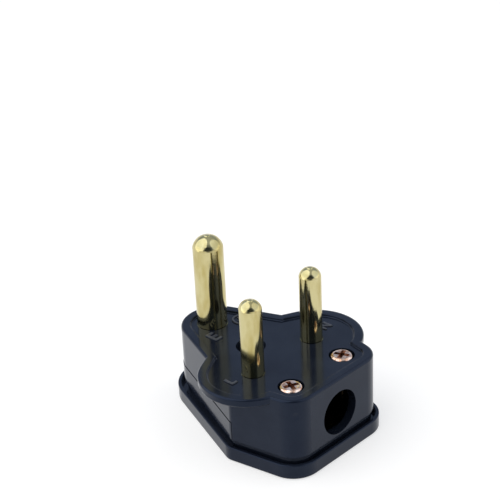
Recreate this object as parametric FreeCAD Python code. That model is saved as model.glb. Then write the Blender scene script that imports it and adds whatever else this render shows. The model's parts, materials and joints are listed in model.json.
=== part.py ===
# Round-pin plug with an earth pin, standing on its back cover with the pins up.
# Frame: mm, +Z up along the pins, +Y towards the earth pin, cord leaves towards -Y.
# The origin is the middle of the back face.
import FreeCAD
import Part

import math
import os

# Pin layout and sizes
PIN_SPACING = 19.05
EARTH_PIN_FROM_LINE = 22.23
SMALL_PIN_DIA = 5.08
EARTH_PIN_DIA = 7.06
SMALL_PIN_LENGTH = 18.0
EARTH_PIN_LENGTH = 22.65
PIN_DOME_RATIO = 1.03
PIN_HOLE_CLEARANCE = 0.1
PIN_SEAT_OVERSIZE = 0.5
PIN_SEAT_SINK = 0.4
PIN_NECK_DEPTH = 0.2
PIN_NECK_RISE = 0.1
PIN_COLLAR_OVERHANG = 0.9
PIN_COLLAR_THICKNESS = 1.2
TERMINAL_END_Z = 7.0
TERMINAL_DIA = 6.4
WIRE_HOLE_DIA = 3.0
WIRE_HOLE_Z = 10.2

# Heights above the back face
COVER_PLATE = 2.0
TRAY_LIP_TOP = 3.5
FOOT_Z = 4.7
SEAM_Z = 9.3
RIM_Z = 19.0
FACE_RECESS = 0.6
FACE_THICKNESS = 2.4

# Body outline, taken at the upper wall, from the pin line
EARTH_END_Y = 20.9
EARTH_END_R = 8.2
WIDE_X = 14.96
WIDE_Y = 0.0
WIDE_R = 2.0
WIDE_SHARP_R = 0.3
CORD_CORNER_X = 9.4
CORD_CORNER_Y = -11.2
CORD_CORNER_R = 5.3
WALL = 2.0
BODY_EDGE_R = 0.6
GATE_MARK_R = 4.0
GATE_MARK_DEPTH = 0.14
GATE_MARK_TURN = -129.0
GATE_MARK_Z = 15.15

# Overhanging lobes of the face
LOBE_X = 10.7
LOBE_Y = 0.2
LOBE_R = 11.2
LOBE_TIP_R = 0.8
LOBE_TIP_REACH = 0.95
LOBE_TIP_TURN = 2.0
LOBE_THICKNESS = 2.0
LOBE_EDGE_R = 0.5
BORDER_WIDTH = 2.2
BORDER_EDGE_R = 0.25

# Back cover
LIP_REACH = 1.3
EARTH_LIP_EXTRA = 0.4
LIP_THICKNESS = 0.75
LIP_EDGE_R = 0.25
BACK_EDGE_R = 0.45
PLATEAU_INSET = 0.55
PLATEAU_WIDTH = 2.45
SKIRT_STEP = 0.1
SEAM_GAP = 0.2
SKIRT_END_GAP = 0.03
PIN_TUBE_WALL = 1.2
PIN_TUBE_GAP = 0.1

# Latch at the earth end
SLOT_WIDTH = 3.3
SLOT_BOTTOM = 10.0
SLOT_TOP = 14.2
TONGUE_SIDE_GAP = 0.15
TONGUE_THICKNESS = 0.7
TONGUE_GAP = 0.3
TONGUE_TOP = 12.0
NOSE_BOTTOM = 10.3
NOSE_TOP = 11.5
NOSE_REACH = 1.0

# Cord entry and cord clamp
CORD_HOLE_DIA = 10.5
CORD_HOLE_Z = 10.4
CORD_GROOVE_Y = -6.0
CLAMP_SCREW_X = 8.3
CLAMP_SCREW_Y = -10.0
CLAMP_HEAD_DIA = 5.2
CLAMP_HEAD_HEIGHT = 2.15
CLAMP_HEAD_PROUD = 0.2
CLAMP_SHANK_DIA = 3.0
CLAMP_SCREW_END_Z = 3.0
CLAMP_BOSS_DIA = 8.0
CLAMP_BOSS_DROP = 1.9
CLAMP_BAR_Z = 3.4
CLAMP_BAR_THICKNESS = 2.0
CLAMP_BAR_HALF_WIDTH = 3.0
CLAMP_SADDLE_R = 7.0
CLAMP_SADDLE_DEPTH = 0.8
HEAD_CLEARANCE = 0.3
SHANK_CLEARANCE = 0.15
THREAD_CLEARANCE = 0.02

# Cover screw in the central well
WELL_X = -1.75
WELL_Y = 8.2
WELL_DIA = 6.8
COVER_HEAD_DIA = 6.0
COVER_HEAD_HEIGHT = 2.2
COVER_HEAD_DEPTH = 3.0
COVER_SHANK_DIA = 3.4
COVER_SCREW_END_Z = 4.0
WELL_POST_DIA = 10.4
COVER_BOSS_DIA = 9.6
INSERT_DIA = 6.0
INSERT_BOTTOM_Z = 3.4

# Screw recesses
CROSS_WIDTH = 1.0
CROSS_DEPTH = 1.1
CROSS_SPAN_RATIO = 0.66
HEAD_ROUNDING = 0.9
TERMINAL_HEAD_DIA = 4.0
TERMINAL_HEAD_HEIGHT = 1.4
TERMINAL_SHANK_DIA = 2.5
TERMINAL_SLOT_WIDTH = 0.7
TERMINAL_SLOT_DEPTH = 0.7

PIN_LINE_Y = -(EARTH_END_Y + EARTH_END_R + EARTH_LIP_EXTRA + CORD_CORNER_Y - CORD_CORNER_R) / 2.0
FACE_Z = RIM_Z - FACE_RECESS
INNER_FACE_Z = FACE_Z - FACE_THICKNESS
PIN_SEAT_Z = FACE_Z - PIN_SEAT_SINK
REACH = 60.0
UP = FreeCAD.Vector(0, 0, 1)


def at(x, y, z=0.0):
    """Point given from the pin line, moved into the part's frame."""
    return FreeCAD.Vector(x, y + PIN_LINE_Y, z)


def belt(circles, bottom, top):
    """Prism whose outline is a tight belt round circles listed counter-clockwise."""
    count = len(circles)
    tangents = []
    for index in range(count):
        x1, y1, r1 = circles[index]
        x2, y2, r2 = circles[(index + 1) % count]
        gap = math.hypot(x2 - x1, y2 - y1)
        ux = (x2 - x1) / gap
        uy = (y2 - y1) / gap
        lean = (r1 - r2) / gap
        side = math.sqrt(1.0 - lean * lean)
        nx = lean * ux + side * uy
        ny = lean * uy - side * ux
        tangents.append((nx, ny))
    edges = []
    for index in range(count):
        x, y, r = circles[index]
        ax, ay = tangents[index - 1]
        bx, by = tangents[index]
        turn = math.atan2(ax * by - ay * bx, ax * bx + ay * by) % (2.0 * math.pi)
        middle = math.atan2(ay, ax) + turn / 2.0
        start = at(x + r * ax, y + r * ay, bottom)
        mid = at(x + r * math.cos(middle), y + r * math.sin(middle), bottom)
        end = at(x + r * bx, y + r * by, bottom)
        edges.append(Part.Arc(start, mid, end).toShape())
        x2, y2, r2 = circles[(index + 1) % count]
        edges.append(Part.makeLine(end, at(x2 + r2 * bx, y2 + r2 * by, bottom)))
    face = Part.Face(Part.Wire(edges))
    return face.extrude(FreeCAD.Vector(0, 0, top - bottom))


def pentagon(offset, bottom, top, earth_extra=0.0):
    """Body outline grown by an offset, with more at the earth end if asked."""
    wide_r = max(WIDE_R + offset, WIDE_SHARP_R)
    wide_x = WIDE_X + WIDE_R + offset - wide_r
    circles = [
        (CORD_CORNER_X, CORD_CORNER_Y, CORD_CORNER_R + offset),
        (wide_x, WIDE_Y, wide_r),
        (0.0, EARTH_END_Y, EARTH_END_R + offset + earth_extra),
        (-wide_x, WIDE_Y, wide_r),
        (-CORD_CORNER_X, CORD_CORNER_Y, CORD_CORNER_R + offset),
    ]
    return belt(circles, bottom, top)


def lobe(side, inset, bottom, top):
    """Outline of one overhanging lobe, shrunk by an inset, with a tip that runs into the side wall."""
    radius = LOBE_R - inset
    turn = math.radians(LOBE_TIP_TURN)
    out = radius + LOBE_TIP_REACH - LOBE_TIP_R
    tip_x = LOBE_X + out * math.sin(turn)
    tip_y = LOBE_Y + out * math.cos(turn)
    return belt([(side * LOBE_X, LOBE_Y, radius), (side * tip_x, tip_y, LOBE_TIP_R)], bottom, top)


def rod(x, y, dia, bottom, top):
    return Part.makeCylinder(dia / 2.0, top - bottom, at(x, y, bottom), UP)


def block(x1, x2, y1, y2, z1, z2):
    return Part.makeBox(x2 - x1, y2 - y1, z2 - z1, at(x1, y1, z1))


def edges_at(shape, z):
    found = []
    for edge in shape.Edges:
        box = edge.BoundBox
        if abs(box.ZMin - z) < 1e-6 and abs(box.ZMax - z) < 1e-6:
            found.append(edge)
    return found


def headed_screw(x, y, head_dia, head_top, head_height, shank_dia, end_z, turn):
    """Screw hanging down from a rounded head with a cross recess, stopped at a turn in degrees."""
    head = rod(x, y, head_dia, head_top - head_height, head_top)
    head = head.makeFillet(HEAD_ROUNDING, edges_at(head, head_top))
    shank = rod(x, y, shank_dia, end_z, head_top - head_height)
    half = head_dia * CROSS_SPAN_RATIO / 2.0
    arm = CROSS_WIDTH / 2.0
    floor = head_top - CROSS_DEPTH
    cross = block(x - half, x + half, y - arm, y + arm, floor, head_top)
    cross = cross.fuse(block(x - arm, x + arm, y - half, y + half, floor, head_top))
    cross.rotate(at(x, y, floor), UP, turn)
    return head.fuse(shank).cut(cross).removeSplitter()


def brass_pin(x, y, dia, length, wire_axis):
    """Pin with a domed tip, a neck at the face, a collar under it and a wire hole in its inner end."""
    radius = dia / 2.0
    dome_r = radius * PIN_DOME_RATIO
    dome_h = dome_r - math.sqrt(dome_r * dome_r - radius * radius)
    tip = FACE_Z + length
    shoulder = tip - dome_h
    ball = Part.makeSphere(dome_r, at(x, y, tip - dome_r))
    cap = ball.common(rod(x, y, dia, shoulder, tip))
    neck_top = FACE_Z + PIN_NECK_RISE
    pin = rod(x, y, dia, neck_top, shoulder).fuse(cap)
    neck = rod(x, y, dia - 2.0 * PIN_NECK_DEPTH, PIN_SEAT_Z, neck_top)
    seat = rod(x, y, dia + PIN_SEAT_OVERSIZE, INNER_FACE_Z, PIN_SEAT_Z)
    collar_dia = dia + 2.0 * PIN_COLLAR_OVERHANG
    collar = rod(x, y, collar_dia, INNER_FACE_Z - PIN_COLLAR_THICKNESS, INNER_FACE_Z)
    inner = rod(x, y, TERMINAL_DIA, TERMINAL_END_Z, INNER_FACE_Z - PIN_COLLAR_THICKNESS)
    pin = pin.fuse([neck, seat, collar, inner])
    start = at(x, y, WIRE_HOLE_Z) - wire_axis * TERMINAL_DIA
    pin = pin.cut(Part.makeCylinder(WIRE_HOLE_DIA / 2.0, 2.0 * TERMINAL_DIA, start, wire_axis))
    screw_hole = TERMINAL_SHANK_DIA + 2.0 * THREAD_CLEARANCE
    pin = pin.cut(rod(x, y, screw_hole, TERMINAL_END_Z, WIRE_HOLE_Z))
    return pin.removeSplitter()


def terminal_screw(x, y):
    """Slotted screw that enters the inner end of a pin and presses on the wire."""
    head = rod(x, y, TERMINAL_HEAD_DIA, TERMINAL_END_Z - TERMINAL_HEAD_HEIGHT, TERMINAL_END_Z)
    shank = rod(x, y, TERMINAL_SHANK_DIA, TERMINAL_END_Z, WIRE_HOLE_Z)
    bottom = TERMINAL_END_Z - TERMINAL_HEAD_HEIGHT
    half = TERMINAL_HEAD_DIA
    arm = TERMINAL_SLOT_WIDTH / 2.0
    slot = block(x - half, x + half, y - arm, y + arm, bottom, bottom + TERMINAL_SLOT_DEPTH)
    return head.fuse(shank).cut(slot).removeSplitter()


HALF_SPACING = PIN_SPACING / 2.0
ACROSS = FreeCAD.Vector(1, 0, 0)
ALONG = FreeCAD.Vector(0, 1, 0)
PINS = {
    "earth_pin": (0.0, EARTH_PIN_FROM_LINE, EARTH_PIN_DIA, EARTH_PIN_LENGTH, ACROSS),
    "line_pin": (-HALF_SPACING, 0.0, SMALL_PIN_DIA, SMALL_PIN_LENGTH, ALONG),
    "neutral_pin": (HALF_SPACING, 0.0, SMALL_PIN_DIA, SMALL_PIN_LENGTH, ALONG),
}
CLAMP_SCREWS = {"clamp_screw_left": -CLAMP_SCREW_X, "clamp_screw_right": CLAMP_SCREW_X}
SCREW_TURNS = {"clamp_screw_left": 68.0, "clamp_screw_right": 22.0, "cover_screw": 35.0}
CLAMP_HEAD_TOP = FACE_Z + CLAMP_HEAD_PROUD
CLAMP_SEAT_Z = CLAMP_HEAD_TOP - CLAMP_HEAD_HEIGHT
COVER_HEAD_TOP = FACE_Z - COVER_HEAD_DEPTH
COVER_SEAT_Z = COVER_HEAD_TOP - COVER_HEAD_HEIGHT
EARTH_WALL_Y = EARTH_END_Y + EARTH_END_R
CORD_WALL_Y = CORD_CORNER_Y - CORD_CORNER_R


def face_recess():
    """Sunk area of the face inside the raised border, rounded where it meets the face."""
    top = RIM_Z + FACE_RECESS
    pieces = [pentagon(-BORDER_WIDTH, FACE_Z, top)]
    for side in (-1, 1):
        pieces.append(lobe(side, BORDER_WIDTH, FACE_Z, top))
    rounded = [piece.makeFillet(BORDER_EDGE_R, edges_at(piece, FACE_Z)) for piece in pieces]
    return rounded[0].fuse(rounded[1:])


def gate_mark():
    """Ball that leaves the shallow mark of the moulding gate on one cord corner."""
    turn = math.radians(GATE_MARK_TURN)
    out = CORD_CORNER_R - GATE_MARK_DEPTH + GATE_MARK_R
    x = -CORD_CORNER_X + out * math.cos(turn)
    y = CORD_CORNER_Y + out * math.sin(turn)
    return Part.makeSphere(GATE_MARK_R, at(x, y, GATE_MARK_Z))


def make_body():
    shell = pentagon(0.0, FOOT_Z, RIM_Z)
    shell = shell.makeFillet(BODY_EDGE_R, edges_at(shell, RIM_Z))
    for side in (-1, 1):
        plate = lobe(side, 0.0, RIM_Z - LOBE_THICKNESS, RIM_Z)
        rims = edges_at(plate, RIM_Z) + edges_at(plate, RIM_Z - LOBE_THICKNESS)
        shell = shell.fuse(plate.makeFillet(LOBE_EDGE_R, rims))
    recess = face_recess()
    shell = shell.cut(recess)
    inner_rim = [edge for edge in edges_at(shell, RIM_Z) if edge.distToShape(recess)[0] < 1e-6]
    shell = shell.makeFillet(BORDER_EDGE_R, inner_rim)
    shell = shell.cut(pentagon(-WALL, 0.0, INNER_FACE_Z))
    shell = shell.cut(block(-REACH, REACH, WIDE_Y, REACH, 0.0, SEAM_Z))
    shell = shell.fuse(rod(WELL_X, WELL_Y, WELL_POST_DIA, SEAM_Z, INNER_FACE_Z))
    for x in CLAMP_SCREWS.values():
        drop = INNER_FACE_Z - CLAMP_BOSS_DROP
        shell = shell.fuse(rod(x, CLAMP_SCREW_Y, CLAMP_BOSS_DIA, drop, INNER_FACE_Z))
    cuts = [rod(WELL_X, WELL_Y, WELL_DIA, COVER_SEAT_Z, RIM_Z)]
    cuts.append(rod(WELL_X, WELL_Y, COVER_SHANK_DIA + 2.0 * SHANK_CLEARANCE, 0.0, RIM_Z))
    for x in CLAMP_SCREWS.values():
        cuts.append(rod(x, CLAMP_SCREW_Y, CLAMP_HEAD_DIA + 2.0 * HEAD_CLEARANCE, CLAMP_SEAT_Z, RIM_Z))
        cuts.append(rod(x, CLAMP_SCREW_Y, CLAMP_SHANK_DIA + 2.0 * SHANK_CLEARANCE, 0.0, RIM_Z))
    for x, y, dia, length, axis in PINS.values():
        hole = dia + 2.0 * PIN_HOLE_CLEARANCE
        cuts.append(rod(x, y, hole, 0.0, RIM_Z))
        cuts.append(rod(x, y, hole + PIN_SEAT_OVERSIZE, 0.0, PIN_SEAT_Z))
    half_slot = SLOT_WIDTH / 2.0
    cuts.append(block(-half_slot, half_slot, EARTH_END_Y, REACH, SLOT_BOTTOM, SLOT_TOP))
    outward = FreeCAD.Vector(0, -1, 0)
    cuts.append(Part.makeCylinder(CORD_HOLE_DIA / 2.0, REACH, at(0.0, CORD_GROOVE_Y, CORD_HOLE_Z), outward))
    cuts.append(gate_mark())
    for tool in cuts:
        shell = shell.cut(tool)
    return shell.removeSplitter()


def make_cover():
    tray = pentagon(LIP_REACH, 0.0, TRAY_LIP_TOP, EARTH_LIP_EXTRA)
    tray = tray.makeFillet(BACK_EDGE_R, edges_at(tray, 0.0))
    tray = tray.makeFillet(LIP_EDGE_R, edges_at(tray, TRAY_LIP_TOP))
    tray = tray.cut(pentagon(LIP_REACH - LIP_THICKNESS, COVER_PLATE, RIM_Z, EARTH_LIP_EXTRA))
    ring = pentagon(-PLATEAU_INSET, COVER_PLATE, FOOT_Z)
    ring = ring.cut(pentagon(-PLATEAU_INSET - PLATEAU_WIDTH, 0.0, RIM_Z))
    skirt = pentagon(SKIRT_STEP, FOOT_Z, SEAM_Z - SEAM_GAP).cut(pentagon(-WALL, 0.0, RIM_Z))
    skirt = skirt.cut(block(-REACH, REACH, -REACH, WIDE_Y + SKIRT_END_GAP, 0.0, RIM_Z))
    tray = tray.fuse([ring, skirt])
    half = SLOT_WIDTH / 2.0 - TONGUE_SIDE_GAP
    wall_in = EARTH_WALL_Y - WALL
    back = wall_in - TONGUE_GAP
    front = back - TONGUE_THICKNESS
    tongue = block(-half, half, front, wall_in + WALL / 2.0, COVER_PLATE, SEAM_Z - SEAM_GAP)
    tongue = tongue.fuse(block(-half, half, front, back, COVER_PLATE, TONGUE_TOP))
    nose = block(-half, half, back, back + NOSE_REACH, NOSE_BOTTOM, NOSE_TOP)
    tray = tray.fuse([tongue, nose])
    for x, y, dia, length, axis in PINS.values():
        top = TERMINAL_END_Z - PIN_TUBE_GAP
        bore = TERMINAL_HEAD_DIA + 2.0 * HEAD_CLEARANCE
        tube = rod(x, y, bore + 2.0 * PIN_TUBE_WALL, COVER_PLATE, top).cut(rod(x, y, bore, COVER_PLATE, top))
        tray = tray.fuse(tube)
    boss = rod(WELL_X, WELL_Y, COVER_BOSS_DIA, COVER_PLATE, SEAM_Z - SEAM_GAP)
    tray = tray.fuse(boss)
    tray = tray.cut(rod(WELL_X, WELL_Y, INSERT_DIA, INSERT_BOTTOM_Z, RIM_Z))
    return tray.removeSplitter()


def make_insert():
    bush = rod(WELL_X, WELL_Y, INSERT_DIA, INSERT_BOTTOM_Z, SEAM_Z - SEAM_GAP)
    return bush.cut(rod(WELL_X, WELL_Y, COVER_SHANK_DIA + 2.0 * THREAD_CLEARANCE, 0.0, RIM_Z))


def make_clamp():
    ends = [
        (-CLAMP_SCREW_X, CLAMP_SCREW_Y, CLAMP_BAR_HALF_WIDTH),
        (CLAMP_SCREW_X, CLAMP_SCREW_Y, CLAMP_BAR_HALF_WIDTH),
    ]
    top = CLAMP_BAR_Z + CLAMP_BAR_THICKNESS
    bar = belt(ends, CLAMP_BAR_Z, top)
    centre_z = top - CLAMP_SADDLE_DEPTH + CLAMP_SADDLE_R
    start = at(0.0, CLAMP_SCREW_Y - REACH / 2.0, centre_z)
    bar = bar.cut(Part.makeCylinder(CLAMP_SADDLE_R, REACH, start, FreeCAD.Vector(0, 1, 0)))
    for x in CLAMP_SCREWS.values():
        bar = bar.cut(rod(x, CLAMP_SCREW_Y, CLAMP_SHANK_DIA + 2.0 * THREAD_CLEARANCE, 0.0, RIM_Z))
    return bar


nodes = {
    "front_body": make_body(),
    "back_cover": make_cover(),
    "cover_insert": make_insert(),
    "cord_clamp": make_clamp(),
    "cover_screw": headed_screw(WELL_X, WELL_Y, COVER_HEAD_DIA, COVER_HEAD_TOP, COVER_HEAD_HEIGHT,
                                COVER_SHANK_DIA, COVER_SCREW_END_Z, SCREW_TURNS["cover_screw"]),
}
for name, (x, y, dia, length, axis) in PINS.items():
    nodes[name] = brass_pin(x, y, dia, length, axis)
    nodes[name.replace("_pin", "_terminal_screw")] = terminal_screw(x, y)
for name, x in CLAMP_SCREWS.items():
    nodes[name] = headed_screw(x, CLAMP_SCREW_Y, CLAMP_HEAD_DIA, CLAMP_HEAD_TOP, CLAMP_HEAD_HEIGHT,
                               CLAMP_SHANK_DIA, CLAMP_SCREW_END_Z, SCREW_TURNS[name])

os.makedirs("parts", exist_ok=True)
for name, shape in nodes.items():
    shape.exportStep("parts/%s.step" % name)
    box = shape.BoundBox
    print(name, shape.isValid(), len(shape.Solids), round(shape.Volume, 2),
          [round(v, 2) for v in (box.XMin, box.XMax, box.YMin, box.YMax, box.ZMin, box.ZMax)])
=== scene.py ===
# %% [markdown]
# A round-pin mains plug stands on its back cover with the pins pointing up.
# The solids come from the imported model, so this lesson is about the looks:
# a camera, a white studio, moulded plastic, polished brass, plated screws and
# the small signs on the face. The scene is emptied first, because a new
# Blender file holds a cube that would be counted as a piece of the plug.

# %% Load the imported plug
import json
import math

import bmesh
import bpy
from mathutils import Matrix, Vector

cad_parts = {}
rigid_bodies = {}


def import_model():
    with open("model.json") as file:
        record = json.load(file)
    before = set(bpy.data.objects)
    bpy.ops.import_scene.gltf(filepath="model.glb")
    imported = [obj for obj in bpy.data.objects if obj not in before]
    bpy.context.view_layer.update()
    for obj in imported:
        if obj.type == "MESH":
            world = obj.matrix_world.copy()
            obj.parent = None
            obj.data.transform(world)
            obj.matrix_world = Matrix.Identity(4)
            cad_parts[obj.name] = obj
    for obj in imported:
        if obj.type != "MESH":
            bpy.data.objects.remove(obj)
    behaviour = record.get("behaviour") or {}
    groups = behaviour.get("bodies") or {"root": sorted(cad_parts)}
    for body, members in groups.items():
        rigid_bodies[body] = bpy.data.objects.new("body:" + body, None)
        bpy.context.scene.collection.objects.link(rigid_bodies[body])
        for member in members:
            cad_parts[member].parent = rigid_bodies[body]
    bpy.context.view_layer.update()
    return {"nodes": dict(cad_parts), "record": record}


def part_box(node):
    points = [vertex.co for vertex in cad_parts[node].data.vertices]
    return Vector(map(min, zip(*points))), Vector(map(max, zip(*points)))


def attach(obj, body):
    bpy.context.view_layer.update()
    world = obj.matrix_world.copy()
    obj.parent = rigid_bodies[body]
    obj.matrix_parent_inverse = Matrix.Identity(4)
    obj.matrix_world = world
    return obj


for spare in list(bpy.data.objects):
    bpy.data.objects.remove(spare, do_unlink=True)

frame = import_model()
nodes = frame["nodes"]
record = frame["record"]
MM = 0.001


print("pieces loaded:", len(nodes))

# %% [markdown]
# The camera stands at the cord end, to the left, and looks down by about a
# third of a right angle. It could be placed by eye, but three pins at a
# standard spacing are a good ruler, so its place and turn were worked out from
# them. A long lens keeps the pins nearly parallel, as a product photograph
# does.

# %% Camera
LENS_MM = 96.17
SENSOR_MM = 36.0
CAMERA_PLACE = (-0.182883, -0.182024, 0.173179)
CAMERA_TURN_DEG = (63.1031, 2.4737, -46.0362)
lens = bpy.data.cameras.new("studio_camera")
lens.lens = LENS_MM
lens.sensor_width = SENSOR_MM
camera = bpy.data.objects.new("studio_camera", lens)
camera.location = CAMERA_PLACE
camera.rotation_euler = [math.radians(angle) for angle in CAMERA_TURN_DEG]
bpy.context.scene.collection.objects.link(camera)
bpy.context.scene.camera = camera
bpy.context.scene.view_settings.view_transform = "Standard"
print("camera at", [round(v, 3) for v in camera.location])

# %% [markdown]
# Glossy black plastic and polished brass have little colour of their own:
# what is seen on them is the studio. So the floor is a large sheet of plain
# pale paper. A curved backdrop is the usual choice, but here one flat grid is
# enough, because its edge is far away and the walls are white there. It lies a
# hair below the plug, so that the two faces that meet don't flicker.

# %% Floor
FLOOR_HALF = 3.0
FLOOR_DROP = 0.05 * MM
floor_mesh = bpy.data.meshes.new("floor")
floor_bm = bmesh.new()
bmesh.ops.create_grid(floor_bm, x_segments=1, y_segments=1, size=FLOOR_HALF)
floor_bm.to_mesh(floor_mesh)
floor_bm.free()
floor = bpy.data.objects.new("floor", floor_mesh)
floor.location.z = -FLOOR_DROP
bpy.context.scene.collection.objects.link(floor)
print("floor half width in m:", FLOOR_HALF)

# %% [markdown]
# Paper looks white in a picture when enough light falls on it. More lamps
# would do that, but they would bleach the plug too. So the paper glows: a
# Light Path node gives the glow to camera rays and in the same measure to
# mirror-like and glass rays, so the pins show the floor that the camera sees.
# Diffuse rays get no glow, so it puts no light on the plug, and the paper
# keeps a soft contact shadow. The glow rises far from the plug, where the
# lamps hardly reach, so that low views have no grey horizon.

# %% Floor paper
PAPER = (0.57, 0.55, 0.52)


def new_nodes(tree):
    """Empty a node tree and return a short way to add nodes to it."""
    tree.nodes.clear()

    def add(kind, **values):
        node = tree.nodes.new(kind)
        for key, value in values.items():
            setattr(node, key, value)
        return node

    return add


floor_paint = bpy.data.materials.new("floor_white")
floor_paint.use_nodes = True
floor_mesh.materials.append(floor_paint)
tree = floor_paint.node_tree
add = new_nodes(tree)
matte = add("ShaderNodeBsdfDiffuse")
matte.inputs["Color"].default_value = (*PAPER, 1.0)
print("floor paper:", floor_paint.name)

# %% Glow of the paper
FLOOR_GLOW = 0.56
FAR_GLOW = 0.85
LAMPLIT_REACH = 0.3
UNLIT_REACH = 1.5
place = add("ShaderNodeTexCoord")
away = add("ShaderNodeVectorMath", operation="LENGTH")
tree.links.new(place.outputs["Object"], away.inputs[0])
lift = add("ShaderNodeMapRange", interpolation_type="SMOOTHSTEP")
lift.inputs["From Min"].default_value = LAMPLIT_REACH
lift.inputs["From Max"].default_value = UNLIT_REACH
lift.inputs["To Min"].default_value = FLOOR_GLOW
lift.inputs["To Max"].default_value = FAR_GLOW
tree.links.new(away.outputs["Value"], lift.inputs["Value"])
print("glow near and far:", FLOOR_GLOW, FAR_GLOW)

# %% Rays that see the glow
path = add("ShaderNodeLightPath")
mirrored = add("ShaderNodeMath", operation="MAXIMUM")
tree.links.new(path.outputs["Is Glossy Ray"], mirrored.inputs[0])
tree.links.new(path.outputs["Is Transmission Ray"], mirrored.inputs[1])
seen = add("ShaderNodeMath", operation="MAXIMUM")
tree.links.new(path.outputs["Is Camera Ray"], seen.inputs[0])
tree.links.new(mirrored.outputs[0], seen.inputs[1])
strength = add("ShaderNodeMath", operation="MULTIPLY")
tree.links.new(seen.outputs[0], strength.inputs[0])
tree.links.new(lift.outputs["Result"], strength.inputs[1])
glow = add("ShaderNodeEmission")
tree.links.new(strength.outputs[0], glow.inputs["Strength"])
both = add("ShaderNodeAddShader")
tree.links.new(matte.outputs[0], both.inputs[0])
tree.links.new(glow.outputs[0], both.inputs[1])
out = add("ShaderNodeOutputMaterial")
tree.links.new(both.outputs[0], out.inputs["Surface"])
print("floor nodes:", len(tree.nodes))

# %% [markdown]
# The room above the floor is a soft shell of light. It is white at the
# horizon and a dull blue grey above it, with a dim patch on the side where
# the photographer stands. A picture of a real studio could serve, but a ramp
# of a few tones over the height needs no file, and each tone can be set by
# itself. The mirror-like face of the plug shows the far side of this shell,
# which is why the face looks darker than the floor.

# %% Studio walls
# Height on the shell, from 0 at the horizon to 1 overhead, and the tone there.
WALL_TONES = (
    (0.00, (1.00, 1.00, 1.00)),
    (0.10, (1.00, 1.00, 1.00)),
    (0.45, (0.35, 0.43, 0.58)),
    (1.00, (0.55, 0.58, 0.62)),
)
world = bpy.data.worlds.new("studio")
bpy.context.scene.world = world
world.use_nodes = True
tree = world.node_tree
add = new_nodes(tree)
compass = add("ShaderNodeTexCoord")
heading = compass.outputs["Generated"]
split = add("ShaderNodeSeparateXYZ")
tree.links.new(heading, split.inputs[0])
wall = add("ShaderNodeValToRGB")
stops = wall.color_ramp.elements
while len(stops) < len(WALL_TONES):
    stops.new(1.0)
for stop, (position, tone) in zip(stops, WALL_TONES):
    stop.position = position
    stop.color = (*tone, 1.0)
tree.links.new(split.outputs["Z"], wall.inputs["Fac"])
print("wall tones:", len(stops))

# %% Dim side of the walls
UP = (0.0, 0.0, 1.0)
DIM_SIDE = (-0.66, -0.66, 0.36)
# The patch sets in between two cosines from its middle and between two heights.
DIM_FROM = 0.68
DIM_FULL = 0.95
DIM_LOW = 0.10
DIM_HIGH = 0.22
DIM_STRENGTH = 0.10


def along(tree, add, where, direction, start, end):
    """Factor from 0 to 1 between two distances along a direction."""
    reach = add("ShaderNodeVectorMath", operation="DOT_PRODUCT")
    reach.inputs[1].default_value = direction
    tree.links.new(where, reach.inputs[0])
    span = add("ShaderNodeMapRange", interpolation_type="SMOOTHSTEP")
    span.inputs["From Min"].default_value = start
    span.inputs["From Max"].default_value = end
    tree.links.new(reach.outputs["Value"], span.inputs["Value"])
    return span.outputs["Result"]


sideways = along(tree, add, heading, DIM_SIDE, DIM_FROM, DIM_FULL)
raised = along(tree, add, heading, UP, DIM_LOW, DIM_HIGH)
patch = add("ShaderNodeMath", operation="MULTIPLY")
tree.links.new(sideways, patch.inputs[0])
tree.links.new(raised, patch.inputs[1])
shade = add("ShaderNodeMapRange")
shade.inputs["To Min"].default_value = 1.0
shade.inputs["To Max"].default_value = DIM_STRENGTH
tree.links.new(patch.outputs[0], shade.inputs["Value"])
room = add("ShaderNodeBackground")
tree.links.new(wall.outputs["Color"], room.inputs["Color"])
tree.links.new(shade.outputs["Result"], room.inputs["Strength"])
out = add("ShaderNodeOutputWorld")
tree.links.new(room.outputs[0], out.inputs["Surface"])
print("wall nodes:", len(tree.nodes))

# %% [markdown]
# Two large round lamps light the plug: the key from the left behind it and a
# weaker fill from the cord end. A polished dome mirrors the lamp itself, and
# a wide disc is seen there as a soft round patch, where a point lamp would
# leave a hard spark. The key is wide for its power, so that its patch stays
# golden and doesn't burn out to white.

# %% Lamps
PLUG_MIDDLE = (0.0, 0.0, 0.015)
KEY_PLACE = (-0.45, 0.30, 0.55)
KEY_WIDTH = 1.4
KEY_WATTS = 5.4
FILL_PLACE = (0.35, -0.45, 0.45)
FILL_WIDTH = 1.0
FILL_WATTS = 1.5


def softbox(name, place, target, width, watts):
    """Round lamp that looks at a point."""
    lamp = bpy.data.lights.new(name, "AREA")
    lamp.shape = "DISK"
    lamp.size = width
    lamp.energy = watts
    holder = bpy.data.objects.new(name, lamp)
    holder.location = place
    aim = Vector(target) - Vector(place)
    holder.rotation_euler = aim.to_track_quat("-Z", "Y").to_euler()
    bpy.context.scene.collection.objects.link(holder)
    return holder


key = softbox("key_softbox", KEY_PLACE, PLUG_MIDDLE, KEY_WIDTH, KEY_WATTS)
fill = softbox("fill_softbox", FILL_PLACE, PLUG_MIDDLE, FILL_WIDTH, FILL_WATTS)
print("lamps:", key.name, fill.name)

# %% [markdown]
# Each finish starts from the Principled shader. One colour and one roughness
# would do from afar, but close up they look like paint on a screen. Noise in
# object space gives the small changes that a real surface has: cloudy gloss
# on the plastic, turning marks and tarnish on the brass. Object coordinates
# need no unwrapping, and numbers that are the same all over are set on the
# shader itself.

# %% Finish and noise helpers


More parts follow.
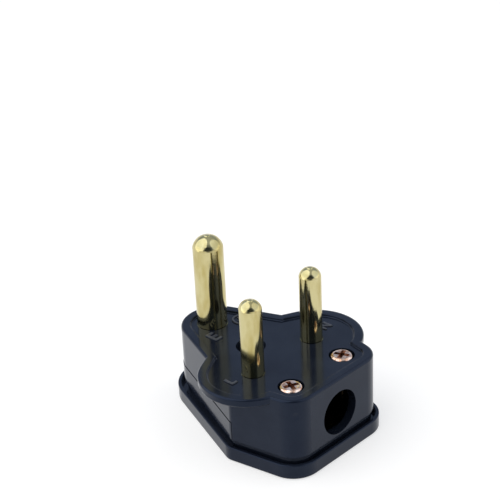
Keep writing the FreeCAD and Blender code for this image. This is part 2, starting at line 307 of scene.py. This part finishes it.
def finish(name, metallic=0.0, ior=1.5):
    """New material with a Principled shader and object coordinates."""
    paint = bpy.data.materials.new(name)
    paint.use_nodes = True
    tree = paint.node_tree
    add = new_nodes(tree)
    shader = add("ShaderNodeBsdfPrincipled")
    shader.inputs["Metallic"].default_value = metallic
    shader.inputs["IOR"].default_value = ior
    out = add("ShaderNodeOutputMaterial")
    tree.links.new(shader.outputs[0], out.inputs["Surface"])
    place = add("ShaderNodeTexCoord")
    return paint, tree, add, shader, place.outputs["Object"]


def noise(tree, add, where, scale, detail=3.0, stretch=(1.0, 1.0, 1.0)):
    """Noise in object space, its scale in grains to a metre, squeezed along the axes if asked."""
    squeezed = add("ShaderNodeMapping")
    squeezed.inputs["Scale"].default_value = stretch
    tree.links.new(where, squeezed.inputs["Vector"])
    cloud = add("ShaderNodeTexNoise")
    cloud.inputs["Scale"].default_value = scale
    cloud.inputs["Detail"].default_value = detail
    tree.links.new(squeezed.outputs[0], cloud.inputs["Vector"])
    return cloud.outputs["Fac"]


print("materials so far:", len(bpy.data.materials))

# %% Tone, gloss and relief helpers
NOISE_LOW = 0.3
NOISE_HIGH = 0.7


def two_tones(tree, add, factor, dark, light, low=0.35, high=0.65):
    """Colour that runs from one tone to another with a factor."""
    ramp = add("ShaderNodeValToRGB")
    ramp.color_ramp.elements[0].position = low
    ramp.color_ramp.elements[0].color = (*dark, 1.0)
    ramp.color_ramp.elements[1].position = high
    ramp.color_ramp.elements[1].color = (*light, 1.0)
    tree.links.new(factor, ramp.inputs["Fac"])
    return ramp.outputs["Color"]


def between(tree, add, factor, low, high):
    """Number that runs between two limits with a noise value."""
    span = add("ShaderNodeMapRange")
    span.inputs["From Min"].default_value = NOISE_LOW
    span.inputs["From Max"].default_value = NOISE_HIGH
    span.inputs["To Min"].default_value = low
    span.inputs["To Max"].default_value = high
    tree.links.new(factor, span.inputs["Value"])
    return span.outputs["Result"]


def relief(tree, add, shader, height, depth, below=None):
    """Bump of a given depth in metres, laid over another if there is one."""
    bump = add("ShaderNodeBump")
    bump.inputs["Strength"].default_value = 1.0
    bump.inputs["Distance"].default_value = depth
    tree.links.new(height, bump.inputs["Height"])
    if below is not None:
        tree.links.new(below, bump.inputs["Normal"])
    tree.links.new(bump.outputs["Normal"], shader.inputs["Normal"])
    return bump.outputs["Normal"]


print("noise used from", NOISE_LOW, "to", NOISE_HIGH)

# %% [markdown]
# The housing is glossy black plastic with a blue cast. It is moulded in a
# polished tool, so the gloss is high and only a slow unevenness of the wall
# bends the reflections a little. The groove round the foot of the housing is
# out of the polisher's reach, so a band at its height is duller, and its
# colour is painted paler: painted light for the light the groove catches.
# That band could be a piece of its own, but a real moulding has no joint
# there, so the height alone chooses the finish.

# %% Black plastic
PLASTIC_IOR = 1.52
BLACK = (0.0075, 0.010, 0.0175)
BLACK_CLOUDS = (0.011, 0.0145, 0.0235)
BLUE_CAST = (0.50, 0.64, 1.0)
BLACK_SPECULAR = 0.28
BLACK_CLOUD_SCALE = 180.0
plastic, tree, add, shader, where = finish("gloss_black_plastic", ior=PLASTIC_IOR)
shader.inputs["Specular IOR Level"].default_value = BLACK_SPECULAR
shader.inputs["Specular Tint"].default_value = (*BLUE_CAST, 1.0)
cloud = noise(tree, add, where, BLACK_CLOUD_SCALE)
black = two_tones(tree, add, cloud, BLACK, BLACK_CLOUDS)
print("housing finish:", plastic.name)

# %% Dull band in the groove, painted paler as painted light
GROOVE_Z = 4.1 * MM
GROOVE_HALF = 0.56 * MM
# Painted light: the band is painted paler than the housing, for the light caught in the groove.
GROOVE_PAINTED_LIGHT = (0.032, 0.037, 0.050)
GROOVE_DULLNESS = 0.35
BLACK_ROUGHNESS = (0.10, 0.17)
level = add("ShaderNodeSeparateXYZ")
tree.links.new(where, level.inputs[0])
groove = add("ShaderNodeMath", operation="COMPARE")
groove.inputs[1].default_value = GROOVE_Z
groove.inputs[2].default_value = GROOVE_HALF
tree.links.new(level.outputs["Z"], groove.inputs[0])
# Painted light in the groove: the paler colour is mixed in over the band.
painted_groove_light = add("ShaderNodeMixRGB")
painted_groove_light.inputs["Color2"].default_value = (*GROOVE_PAINTED_LIGHT, 1.0)
tree.links.new(groove.outputs[0], painted_groove_light.inputs["Fac"])
tree.links.new(black, painted_groove_light.inputs["Color1"])
tree.links.new(painted_groove_light.outputs["Color"], shader.inputs["Base Color"])
satin = add("ShaderNodeMath", operation="MULTIPLY_ADD")
satin.inputs[1].default_value = GROOVE_DULLNESS
tree.links.new(groove.outputs[0], satin.inputs[0])
tree.links.new(between(tree, add, cloud, *BLACK_ROUGHNESS), satin.inputs[2])
tree.links.new(satin.outputs[0], shader.inputs["Roughness"])
print("groove from", round((GROOVE_Z - GROOVE_HALF) / MM, 2), "to", round((GROOVE_Z + GROOVE_HALF) / MM, 2))

# %% Waves and grain of the plastic
WAVE_SCALE = 90.0
WAVE_DEPTH = 0.06 * MM
GRAIN_SCALE = 2600.0
GRAIN_DEPTH = 0.0025 * MM
slow = noise(tree, add, where, WAVE_SCALE, detail=1.0)
grain = noise(tree, add, where, GRAIN_SCALE, detail=2.0)
wavy = relief(tree, add, shader, slow, WAVE_DEPTH)
relief(tree, add, shader, grain, GRAIN_DEPTH, wavy)
print("plastic nodes:", len(tree.nodes))

# %% [markdown]
# The pins are turned from brass and polished. Turning leaves rings that run
# round the pin, too fine to model, so one noise is squeezed along the pin's
# length and laid on as bump. Another, drawn out along the pin, is the light
# tarnish left by fingers. Inside the housing nobody polishes the metal and
# little light gets in, so below a height it is painted nearly black: dull
# metal and painted shade together.

# %% Polished brass
INSIDE_TOP = 13.0 * MM
INSIDE_FADE = 2.0 * MM
# Nearly black below a height: dull unpolished metal and painted shade inside the housing.
INSIDE_DULL_AND_SHADE = (0.05, 0.035, 0.02)
BRASS_TARNISH = (0.46, 0.38, 0.145)
BRASS_BRIGHT = (0.59, 0.53, 0.28)
BRASS_ROUGHNESS = (0.17, 0.08)
TARNISH_SCALE = 420.0
TARNISH_STRETCH = (1.0, 1.0, 0.35)
RING_SCALE = 60.0
RING_STRETCH = (1.0, 1.0, 60.0)
RING_DEPTH = 0.004 * MM


def dull_and_shade_below(tree, add, where, tone, top, fade, dull_and_shade_tone):
    """Darken a metal below a height: painted shade where the housing or a recess shuts out the light, with
    dull unpolished metal inside the housing.
    """
    below = along(tree, add, where, (0.0, 0.0, -1.0), -top, -top + fade)
    darker = add("ShaderNodeMixRGB")
    darker.inputs["Color2"].default_value = (*dull_and_shade_tone, 1.0)
    tree.links.new(below, darker.inputs["Fac"])
    tree.links.new(tone, darker.inputs["Color1"])
    return darker.outputs["Color"]


brass, tree, add, shader, where = finish("polished_brass", metallic=1.0)
cloud = noise(tree, add, where, TARNISH_SCALE, detail=5.0, stretch=TARNISH_STRETCH)
tone = two_tones(tree, add, cloud, BRASS_TARNISH, BRASS_BRIGHT, low=0.30, high=0.60)
tone = dull_and_shade_below(tree, add, where, tone, INSIDE_TOP, INSIDE_FADE, INSIDE_DULL_AND_SHADE)
tree.links.new(tone, shader.inputs["Base Color"])
tree.links.new(between(tree, add, cloud, *BRASS_ROUGHNESS), shader.inputs["Roughness"])
rings = noise(tree, add, where, RING_SCALE, detail=2.0, stretch=RING_STRETCH)
turned = relief(tree, add, shader, rings, RING_DEPTH)
print("pin finish:", brass.name)

# %% [markdown]
# On the domed end the tool's marks are circles about the pin's own axis. A
# finish for each pin could be centred on it, but then there would be three of
# them to keep alike. One finish can serve all pins if it measures how far a
# point lies from the nearest axis, and the record says where the axes are.

# %% Distance from the nearest pin axis
PIN_AXES = [mount["pos_m"][:2] for mount in record["mounts"] if mount["kind"] == "pin"]


def from_pin_axis(tree, add, where):
    """Distance of a point from the axis of the pin that is nearest to it."""
    flat = add("ShaderNodeVectorMath", operation="MULTIPLY")
    flat.inputs[1].default_value = (1.0, 1.0, 0.0)
    tree.links.new(where, flat.inputs[0])
    nearest = None
    for x, y in PIN_AXES:
        away = add("ShaderNodeVectorMath", operation="DISTANCE")
        away.inputs[1].default_value = (x, y, 0.0)
        tree.links.new(flat.outputs[0], away.inputs[0])
        if nearest is None:
            nearest = away.outputs["Value"]
            continue
        least = add("ShaderNodeMath", operation="MINIMUM")
        tree.links.new(nearest, least.inputs[0])
        tree.links.new(away.outputs["Value"], least.inputs[1])
        nearest = least.outputs[0]
    return nearest


reach = from_pin_axis(tree, add, where)
print("pin axes:", len(PIN_AXES))

# %% [markdown]
# A small pip is left in the middle of each dome, where the bar was parted
# off, and buffing by hand made the dome a little wavy. They could be cut into
# the solid, but all of it is less than two tenths of a millimetre deep, so
# bump is enough. The waves are kept off the straight sides by the way a face
# points.

# %% Marks on the domes
TOOL_MARK_SCALE = 4500.0
TOOL_MARK_DEPTH = 0.014 * MM
PIP_RADIUS = 0.6 * MM
PIP_DEPTH = 0.14 * MM
PIP_FADE = 0.4
HAND_WAVE_SCALE = 650.0
HAND_WAVE_DEPTH = 0.1 * MM
DOME_FROM = 0.05
DOME_FULL = 0.35
marks = add("ShaderNodeTexNoise", noise_dimensions="1D")
marks.inputs["Scale"].default_value = TOOL_MARK_SCALE
marks.inputs["Detail"].default_value = 1.0
tree.links.new(reach, marks.inputs["W"])
turned = relief(tree, add, shader, marks.outputs["Fac"], TOOL_MARK_DEPTH, turned)
pip = add("ShaderNodeMapRange", interpolation_type="SMOOTHSTEP")
pip.inputs["From Min"].default_value = PIP_RADIUS * (1.0 + PIP_FADE)
pip.inputs["From Max"].default_value = PIP_RADIUS * (1.0 - PIP_FADE)
tree.links.new(reach, pip.inputs["Value"])
turned = relief(tree, add, shader, pip.outputs["Result"], PIP_DEPTH, turned)
facing = add("ShaderNodeNewGeometry")
upward = along(tree, add, facing.outputs["Normal"], UP, DOME_FROM, DOME_FULL)
waves = add("ShaderNodeMath", operation="MULTIPLY")
tree.links.new(noise(tree, add, where, HAND_WAVE_SCALE, detail=1.0), waves.inputs[0])
tree.links.new(upward, waves.inputs[1])
relief(tree, add, shader, waves.outputs[0], HAND_WAVE_DEPTH, turned)
print("brass nodes:", len(tree.nodes))

# %% [markdown]
# The clamp bar behind the cord entry is plain steel. Rolled steel has fine
# lines that run one way, so its noise is squeezed across them. It is seen
# only through the entry, so tone and gloss are enough, and it gets no bump.

# %% Plain steel
STEEL_DARK = (0.42, 0.42, 0.44)
STEEL_LIGHT = (0.60, 0.60, 0.61)
STEEL_ROUGHNESS = (0.25, 0.4)
STEEL_SCALE = 500.0
STEEL_STRETCH = (6.0, 1.0, 1.0)
steel, tree, add, shader, where = finish("plain_steel", metallic=1.0)
cloud = noise(tree, add, where, STEEL_SCALE, detail=4.0, stretch=STEEL_STRETCH)
tone = two_tones(tree, add, cloud, STEEL_DARK, STEEL_LIGHT)
# Below a height the steel is painted nearly black: painted shade inside the housing.
tone = dull_and_shade_below(tree, add, where, tone, INSIDE_TOP, INSIDE_FADE, INSIDE_DULL_AND_SHADE)
tree.links.new(tone, shader.inputs["Base Color"])
tree.links.new(between(tree, add, cloud, *STEEL_ROUGHNESS), shader.inputs["Roughness"])
print("clamp finish:", steel.name)

# %% [markdown]
# The screws are plated with a thin coat of copper colour. The plating is
# bright and uneven on the head. The cross recess is painted brown, as painted
# shade in the recess. The recess could be painted face by face, but the
# solids stay as they are, so the tone falls off below the top of the head
# instead. The two heights at which screw heads stand need a finish each.

# %% Plated screws
COPPER_DULL = (0.66, 0.38, 0.25)
COPPER_BRIGHT = (1.0, 0.84, 0.74)
COPPER_ROUGHNESS = (0.07, 0.22)
PLATING_SCALE = 1100.0
# Painted shade: brown in the cross recess, falling off below the top of the head.
RECESS_PAINTED_SHADE = (0.20, 0.09, 0.04)
RECESS_START = 0.2 * MM
RECESS_FADE = 1.4 * MM
PIT_SCALE = 1300.0
PIT_DEPTH = 0.08 * MM


def plated_copper(name, head_top):
    """Bright plating, with painted shade that turns it brown in the recess of the head."""
    copper, tree, add, shader, where = finish(name, metallic=1.0)
    cloud = noise(tree, add, where, PLATING_SCALE, detail=4.0)
    tone = two_tones(tree, add, cloud, COPPER_DULL, COPPER_BRIGHT)
    # Painted shade in the cross recess of the head.
    tone = dull_and_shade_below(tree, add, where, tone, head_top - RECESS_START, RECESS_FADE, RECESS_PAINTED_SHADE)
    # Below a height the screw is painted nearly black: dull metal and painted shade inside the housing.
    tone = dull_and_shade_below(tree, add, where, tone, INSIDE_TOP, INSIDE_FADE, INSIDE_DULL_AND_SHADE)
    tree.links.new(tone, shader.inputs["Base Color"])
    tree.links.new(between(tree, add, cloud, *COPPER_ROUGHNESS), shader.inputs["Roughness"])
    pits = noise(tree, add, where, PIT_SCALE)
    relief(tree, add, shader, pits, PIT_DEPTH)
    return copper


clamp_head_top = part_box("clamp_screw_left")[1][2]
cover_head_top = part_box("cover_screw")[1][2]
clamp_copper = plated_copper("plated_copper_clamp", clamp_head_top)
cover_copper = plated_copper("plated_copper_cover", cover_head_top)
print("screw heads in mm:", round(clamp_head_top / MM, 2), round(cover_head_top / MM, 2))

# %% [markdown]
# The record gives each solid a slot, which is the name of its finish. The
# finishes could be handed out piece by piece, but reading the slots keeps
# this cell right when a piece is added. Only the clamp screws need a word of
# their own, because their heads stand higher than that of the cover screw.

# %% Finishes on the pieces
FINISHES = {
    "black_plastic": plastic,
    "pin_brass": brass,
    "screw_copper": cover_copper,
    "clamp_steel": steel,
}
SLOT_OF = {row["node"]: row["material_slot"] for row in record["subparts"]}
for name, node in nodes.items():
    paint = clamp_copper if name.startswith("clamp_screw") else FINISHES[SLOT_OF[name]]
    node.data.materials.clear()
    node.data.materials.append(paint)
print("finishes:", sorted(FINISHES))

# %% [markdown]
# Such a face carries a few moulded signs that tell the wireman which pin is
# which: a letter beside each pin and the earth sign in a ring. The strokes
# are cut into the mould after it was polished, so they come out with a satin
# finish. Their colour is also painted paler than the face, as painted light
# on the raised strokes, so they read as a paler grey than the mirror-like
# face. A second, rougher plastic is simpler than a mask in the first, because
# the signs are pieces of their own.

# %% Satin plastic of the signs, painted paler as painted light
# Painted light: the signs' plastic is painted paler than that of the face.
SIGN_PAINTED_LIGHT_LOW = (0.034, 0.038, 0.048)
SIGN_PAINTED_LIGHT_HIGH = (0.048, 0.053, 0.066)
SATIN_ROUGHNESS = (0.34, 0.46)
SATIN_SCALE = 900.0
satin_plastic, tree, add, shader, where = finish("satin_black_plastic", ior=PLASTIC_IOR)
cloud = noise(tree, add, where, SATIN_SCALE)
tone = two_tones(tree, add, cloud, SIGN_PAINTED_LIGHT_LOW, SIGN_PAINTED_LIGHT_HIGH)
tree.links.new(tone, shader.inputs["Base Color"])
tree.links.new(between(tree, add, cloud, *SATIN_ROUGHNESS), shader.inputs["Roughness"])
print("sign finish:", satin_plastic.name)

# %% [markdown]
# Bump could draw the signs, but a real relief catches the light on its edges,
# also from the side. The signs stand on the face, which lies a little below
# the top of the raised border, and their places are measured from the line
# through the two thin pins. Each sign also reaches into the face, so that no
# gap shows under it.

# %% Place of the signs
BORDER_RISE = 0.6 * MM
FACE_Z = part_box("front_body")[1][2] - BORDER_RISE
PIN_LINE_Y = next(mount["pos_m"][1] for mount in record["mounts"] if mount["name"] == "line_pin")


def on_face(x, y):
    """Move to a point of the face, measured from the middle of the pin line."""
    return Matrix.Translation((x, y + PIN_LINE_Y, FACE_Z))


print("face and pin line in mm:", round(FACE_Z / MM, 2), round(PIN_LINE_Y / MM, 2))

# %% [markdown]
# A mesh that comes from a text or a spin has double points along its seams.
# They look closed, but the exported piece would be cracked there. So they are
# merged, and the faces are turned outwards, before the mesh is linked as a
# piece that rides on the plug's one body.

# %% How a sign becomes a piece
SEAM_REACH = 1e-7


def weld(bm):
    """Close the seams of a mesh and turn its faces outwards."""
    bmesh.ops.remove_doubles(bm, verts=bm.verts, dist=SEAM_REACH)
    bmesh.ops.recalc_face_normals(bm, faces=bm.faces)


def add_piece(name, mesh, paint):
    """Link a finished mesh as a piece of the plug."""
    mesh.materials.clear()
    mesh.materials.append(paint)
    piece = bpy.data.objects.new(name, mesh)
    bpy.context.scene.collection.objects.link(piece)
    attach(piece, "root")
    return piece


print("seams closed within m:", SEAM_REACH)

# %% [markdown]
# The letters come from a text object, which draws them with even strokes and
# rounds their edges by itself. It becomes a mesh before it is put in its
# place, because a piece sits at the origin with its place in its mesh.

# %% Letters
SIGN_HEIGHT = 0.28 * MM
SIGN_ROUNDING = 0.1 * MM
# Name, letter, x and y of its middle, and its size.
LETTERS_MM = (
    ("mark_E", "E", -4.5, 17.1, 4.8),
    ("mark_L", "L", -15.4, 1.0, 3.6),
    ("mark_N", "N", 15.4, 1.0, 3.6),
)


def letter(name, text, x, y, size):
    """Raised letter on the face, its middle at a point from the pin line."""
    words = bpy.data.curves.new(name, "FONT")
    words.body = text
    words.size = size
    words.align_x = "CENTER"
    words.align_y = "CENTER"
    words.extrude = SIGN_HEIGHT - SIGN_ROUNDING
    words.bevel_depth = SIGN_ROUNDING
    words.bevel_resolution = 2
    words.resolution_u = 3
    holder = bpy.data.objects.new(name + "_text", words)
    bpy.context.scene.collection.objects.link(holder)
    bpy.context.view_layer.update()
    mesh = bpy.data.meshes.new_from_object(holder)
    bpy.data.objects.remove(holder, do_unlink=True)
    bpy.data.curves.remove(words)
    mesh.transform(on_face(x, y))
    bm = bmesh.new()
    bm.from_mesh(mesh)
    weld(bm)
    bm.to_mesh(mesh)
    bm.free()
    return add_piece(name, mesh, satin_plastic)


for name, text, x, y, size in LETTERS_MM:
    made = letter(name, text, x * MM, y * MM, size * MM)
    print("letter:", made.name, len(made.data.polygons), "faces")

# %% [markdown]
# The earth sign is a stem over three strokes that shrink, in a ring. No font
# can be trusted to hold it, so it is built: the ring is a small square
# section that is spun round, and each stroke is a cube that is drawn out.
# Their upper edges are rounded with a bevel, so that they catch the light as
# the letters do.

# %% Strokes of the earth sign
SIGN_STROKE = 0.5 * MM
SHARP = math.radians(45.0)
RING_STEPS = 40


def round_top(bm, verts):
    """Round the sharp upper edges of a stroke."""
    upper = {v for v in verts if v.co.z > FACE_Z}
    rim = [e for e in bm.edges if e.verts[0] in upper and e.verts[1] in upper]
    edges = [e for e in rim if e.calc_face_angle(0.0) > SHARP]
    bmesh.ops.bevel(
        bm, geom=edges, offset=SIGN_ROUNDING, affect="EDGES", segments=2, profile=0.5, material=-1,
    )


def bar(bm, x, y, width, depth):
    """Raised straight stroke, centred on a point of the face."""
    made = bmesh.ops.create_cube(bm, size=1.0)
    size = Matrix.Diagonal((width, depth, 2.0 * SIGN_HEIGHT, 1.0))
    bmesh.ops.transform(bm, matrix=on_face(x, y) @ size, verts=made["verts"])
    round_top(bm, made["verts"])


def ring(bm, x, y, radius):
    """Raised ring: a square section spun round a point of the face."""
    corners = []
    for out, up in ((-0.5, -1.0), (0.5, -1.0), (0.5, 1.0), (-0.5, 1.0)):
        spot = (x + radius + out * SIGN_STROKE, y + PIN_LINE_Y, FACE_Z + up * SIGN_HEIGHT)
        corners.append(bm.verts.new(spot))
    section = [bm.edges.new((corners[i], corners[(i + 1) % 4])) for i in range(4)]
    bmesh.ops.spin(
        bm, geom=corners + section, cent=(x, y + PIN_LINE_Y, 0.0), axis=UP,
        angle=2.0 * math.pi, steps=RING_STEPS, use_merge=True,
    )
    weld(bm)
    round_top(bm, list(bm.verts))


print("sign stroke and height in mm:", SIGN_STROKE / MM, SIGN_HEIGHT / MM)

# %% Earth sign
EARTH_SIGN_X = 5.3 * MM
EARTH_SIGN_Y = 18.0 * MM
EARTH_SIGN_RADIUS = 2.0 * MM
STROKE_DEPTH = 0.8 * SIGN_STROKE
# The rest are shares of the ring's radius.
STROKE_WIDTHS = (1.25, 0.8, 0.35)
FIRST_STROKE = 0.05
STROKE_STEP = 0.26
STEM_TOP = 0.64


def earth_sign(name, x, y, radius):
    """Earth sign: a stem, three shrinking strokes and a ring round them."""
    bm = bmesh.new()
    ring(bm, x, y, radius)
    stem_low = y - FIRST_STROKE * radius + STROKE_DEPTH / 2.0 - SIGN_ROUNDING
    stem_high = y + STEM_TOP * radius
    bar(bm, x, (stem_low + stem_high) / 2.0, SIGN_STROKE, stem_high - stem_low)
    for step, width in enumerate(STROKE_WIDTHS):
        drop = (FIRST_STROKE + STROKE_STEP * step) * radius
        bar(bm, x, y - drop, width * radius, STROKE_DEPTH)
    mesh = bpy.data.meshes.new(name)
    bm.to_mesh(mesh)
    bm.free()
    return add_piece(name, mesh, satin_plastic)


made = earth_sign("earth_sign", EARTH_SIGN_X, EARTH_SIGN_Y, EARTH_SIGN_RADIUS)
print("sign:", made.name, len(made.data.polygons), "faces")
